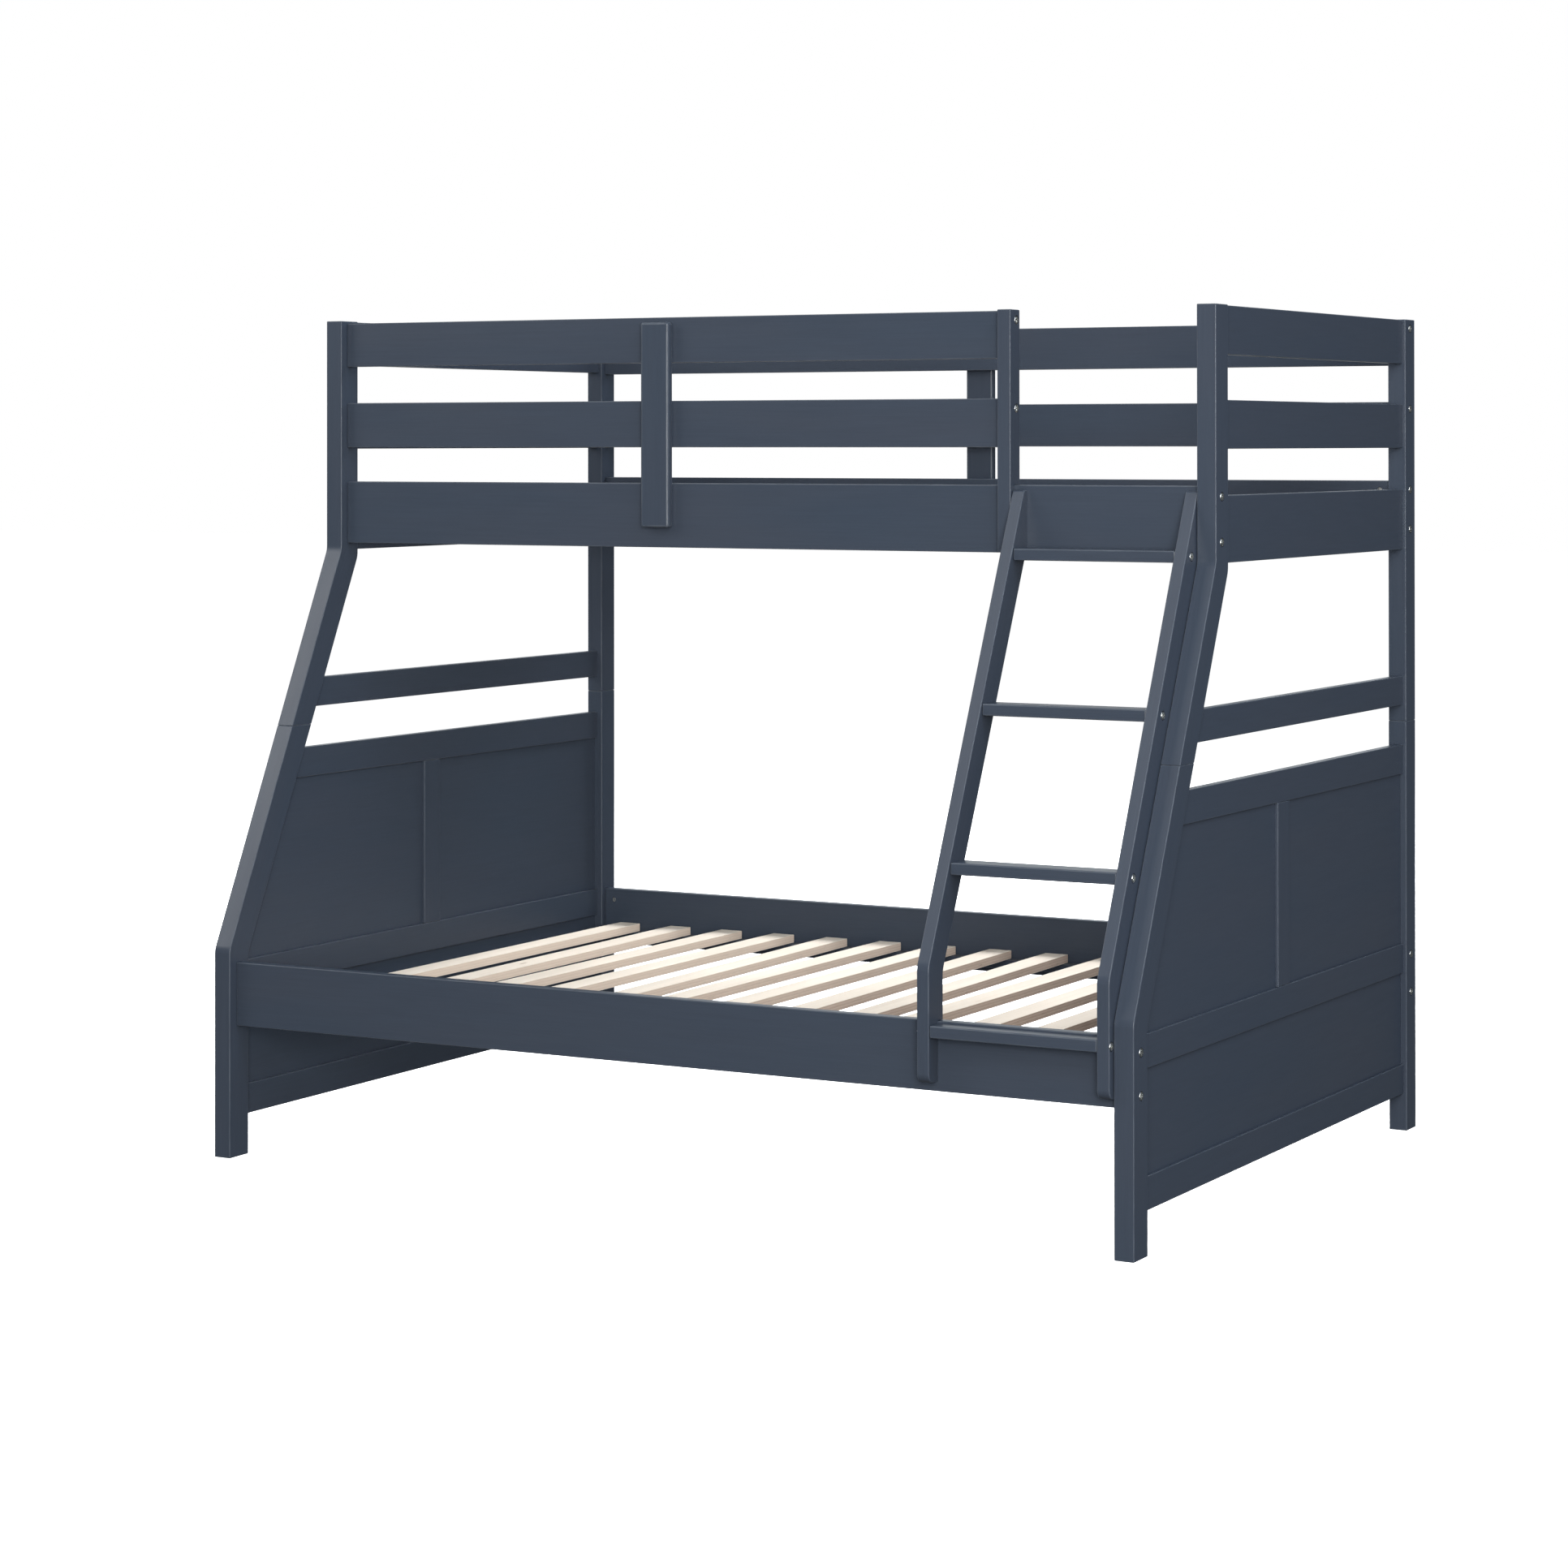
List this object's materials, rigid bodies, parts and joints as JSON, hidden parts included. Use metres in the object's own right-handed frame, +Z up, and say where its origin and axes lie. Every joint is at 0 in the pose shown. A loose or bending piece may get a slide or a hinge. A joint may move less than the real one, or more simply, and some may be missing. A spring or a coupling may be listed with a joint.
{
  "type": "bunk bed with ladder",
  "caption": "Bunk bed in painted solid wood: a single bunk with guard rails stands on a wider slatted lower bed, with a leaning ladder hung on its front.",
  "frame": {"origin": "centre of the footprint, on the floor", "axes": "+X along the bed towards the ladder end, +Y from the open front towards the back, +Z up"},
  "size_m": [2.02, 1.494, 1.7],
  "materials": {
    "painted_wood": "satin slate-blue paint over solid wood, with faint grain and slightly lighter eased edges",
    "slat_wood": "unfinished pale laminated wood, its layers showing on the long edges",
    "zinc_steel": "zinc-plated steel, satin"
  },
  "bodies": {
    "lower_bed": {"lower_back_ledger": "painted_wood", "lower_back_post_left": "painted_wood", "lower_back_post_right": "painted_wood", "lower_back_side_rail": "painted_wood", "lower_end_bottom_rail_left": "painted_wood", "lower_end_bottom_rail_right": "painted_wood", "lower_end_mid_rail_left": "painted_wood", "lower_end_mid_rail_right": "painted_wood", "lower_end_panel_lower_left": "painted_wood", "lower_end_panel_lower_right": "painted_wood", "lower_end_panel_upper_back_left": "painted_wood", "lower_end_panel_upper_back_right": "painted_wood", "lower_end_panel_upper_front_left": "painted_wood", "lower_end_panel_upper_front_right": "painted_wood", "lower_end_stile_left": "painted_wood", "lower_end_stile_right": "painted_wood", "lower_end_top_rail_left": "painted_wood", "lower_end_top_rail_right": "painted_wood", "lower_front_ledger": "painted_wood", "lower_front_post_left": "painted_wood", "lower_front_post_right": "painted_wood", "lower_front_side_rail": "painted_wood", "lower_slats": "slat_wood", "seam_pin_back_left": "zinc_steel", "seam_pin_back_right": "zinc_steel", "seam_pin_front_left": "zinc_steel", "seam_pin_front_right": "zinc_steel"},
    "upper_bunk": {"back_centre_support": "painted_wood", "back_mid_guard": "painted_wood", "back_top_guard": "painted_wood", "end_mid_guard_left": "painted_wood", "end_mid_guard_right": "painted_wood", "end_top_guard_left": "painted_wood", "end_top_guard_right": "painted_wood", "front_centre_support": "painted_wood", "front_guard_post": "painted_wood", "front_mid_guard": "painted_wood", "front_top_guard": "painted_wood", "upper_back_ledger": "painted_wood", "upper_back_post_left": "painted_wood", "upper_back_post_right": "painted_wood", "upper_back_side_rail": "painted_wood", "upper_end_bunk_rail_left": "painted_wood", "upper_end_bunk_rail_right": "painted_wood", "upper_end_cross_rail_left": "painted_wood", "upper_end_cross_rail_right": "painted_wood", "upper_front_ledger": "painted_wood", "upper_front_post_left": "painted_wood", "upper_front_post_right": "painted_wood", "upper_front_side_rail": "painted_wood", "upper_slats": "slat_wood"},
    "ladder": {"ladder_pin_left": "zinc_steel", "ladder_pin_right": "zinc_steel", "ladder_rung_1": "painted_wood", "ladder_rung_2": "painted_wood", "ladder_rung_3": "painted_wood", "ladder_rung_4": "painted_wood", "ladder_stringer_left": "painted_wood", "ladder_stringer_right": "painted_wood"}
  },
  "joints": [
    {"name": "upper_bunk_lift", "type": "slide", "parent": "lower_bed", "child": "upper_bunk", "axis": [0, 0, 1], "range_m": [0, 0.1]},
    {"name": "ladder_pull_off", "type": "slide", "parent": "upper_bunk", "child": "ladder", "axis": [0, -1, 0], "range_m": [0, 0.15]}
  ]
}
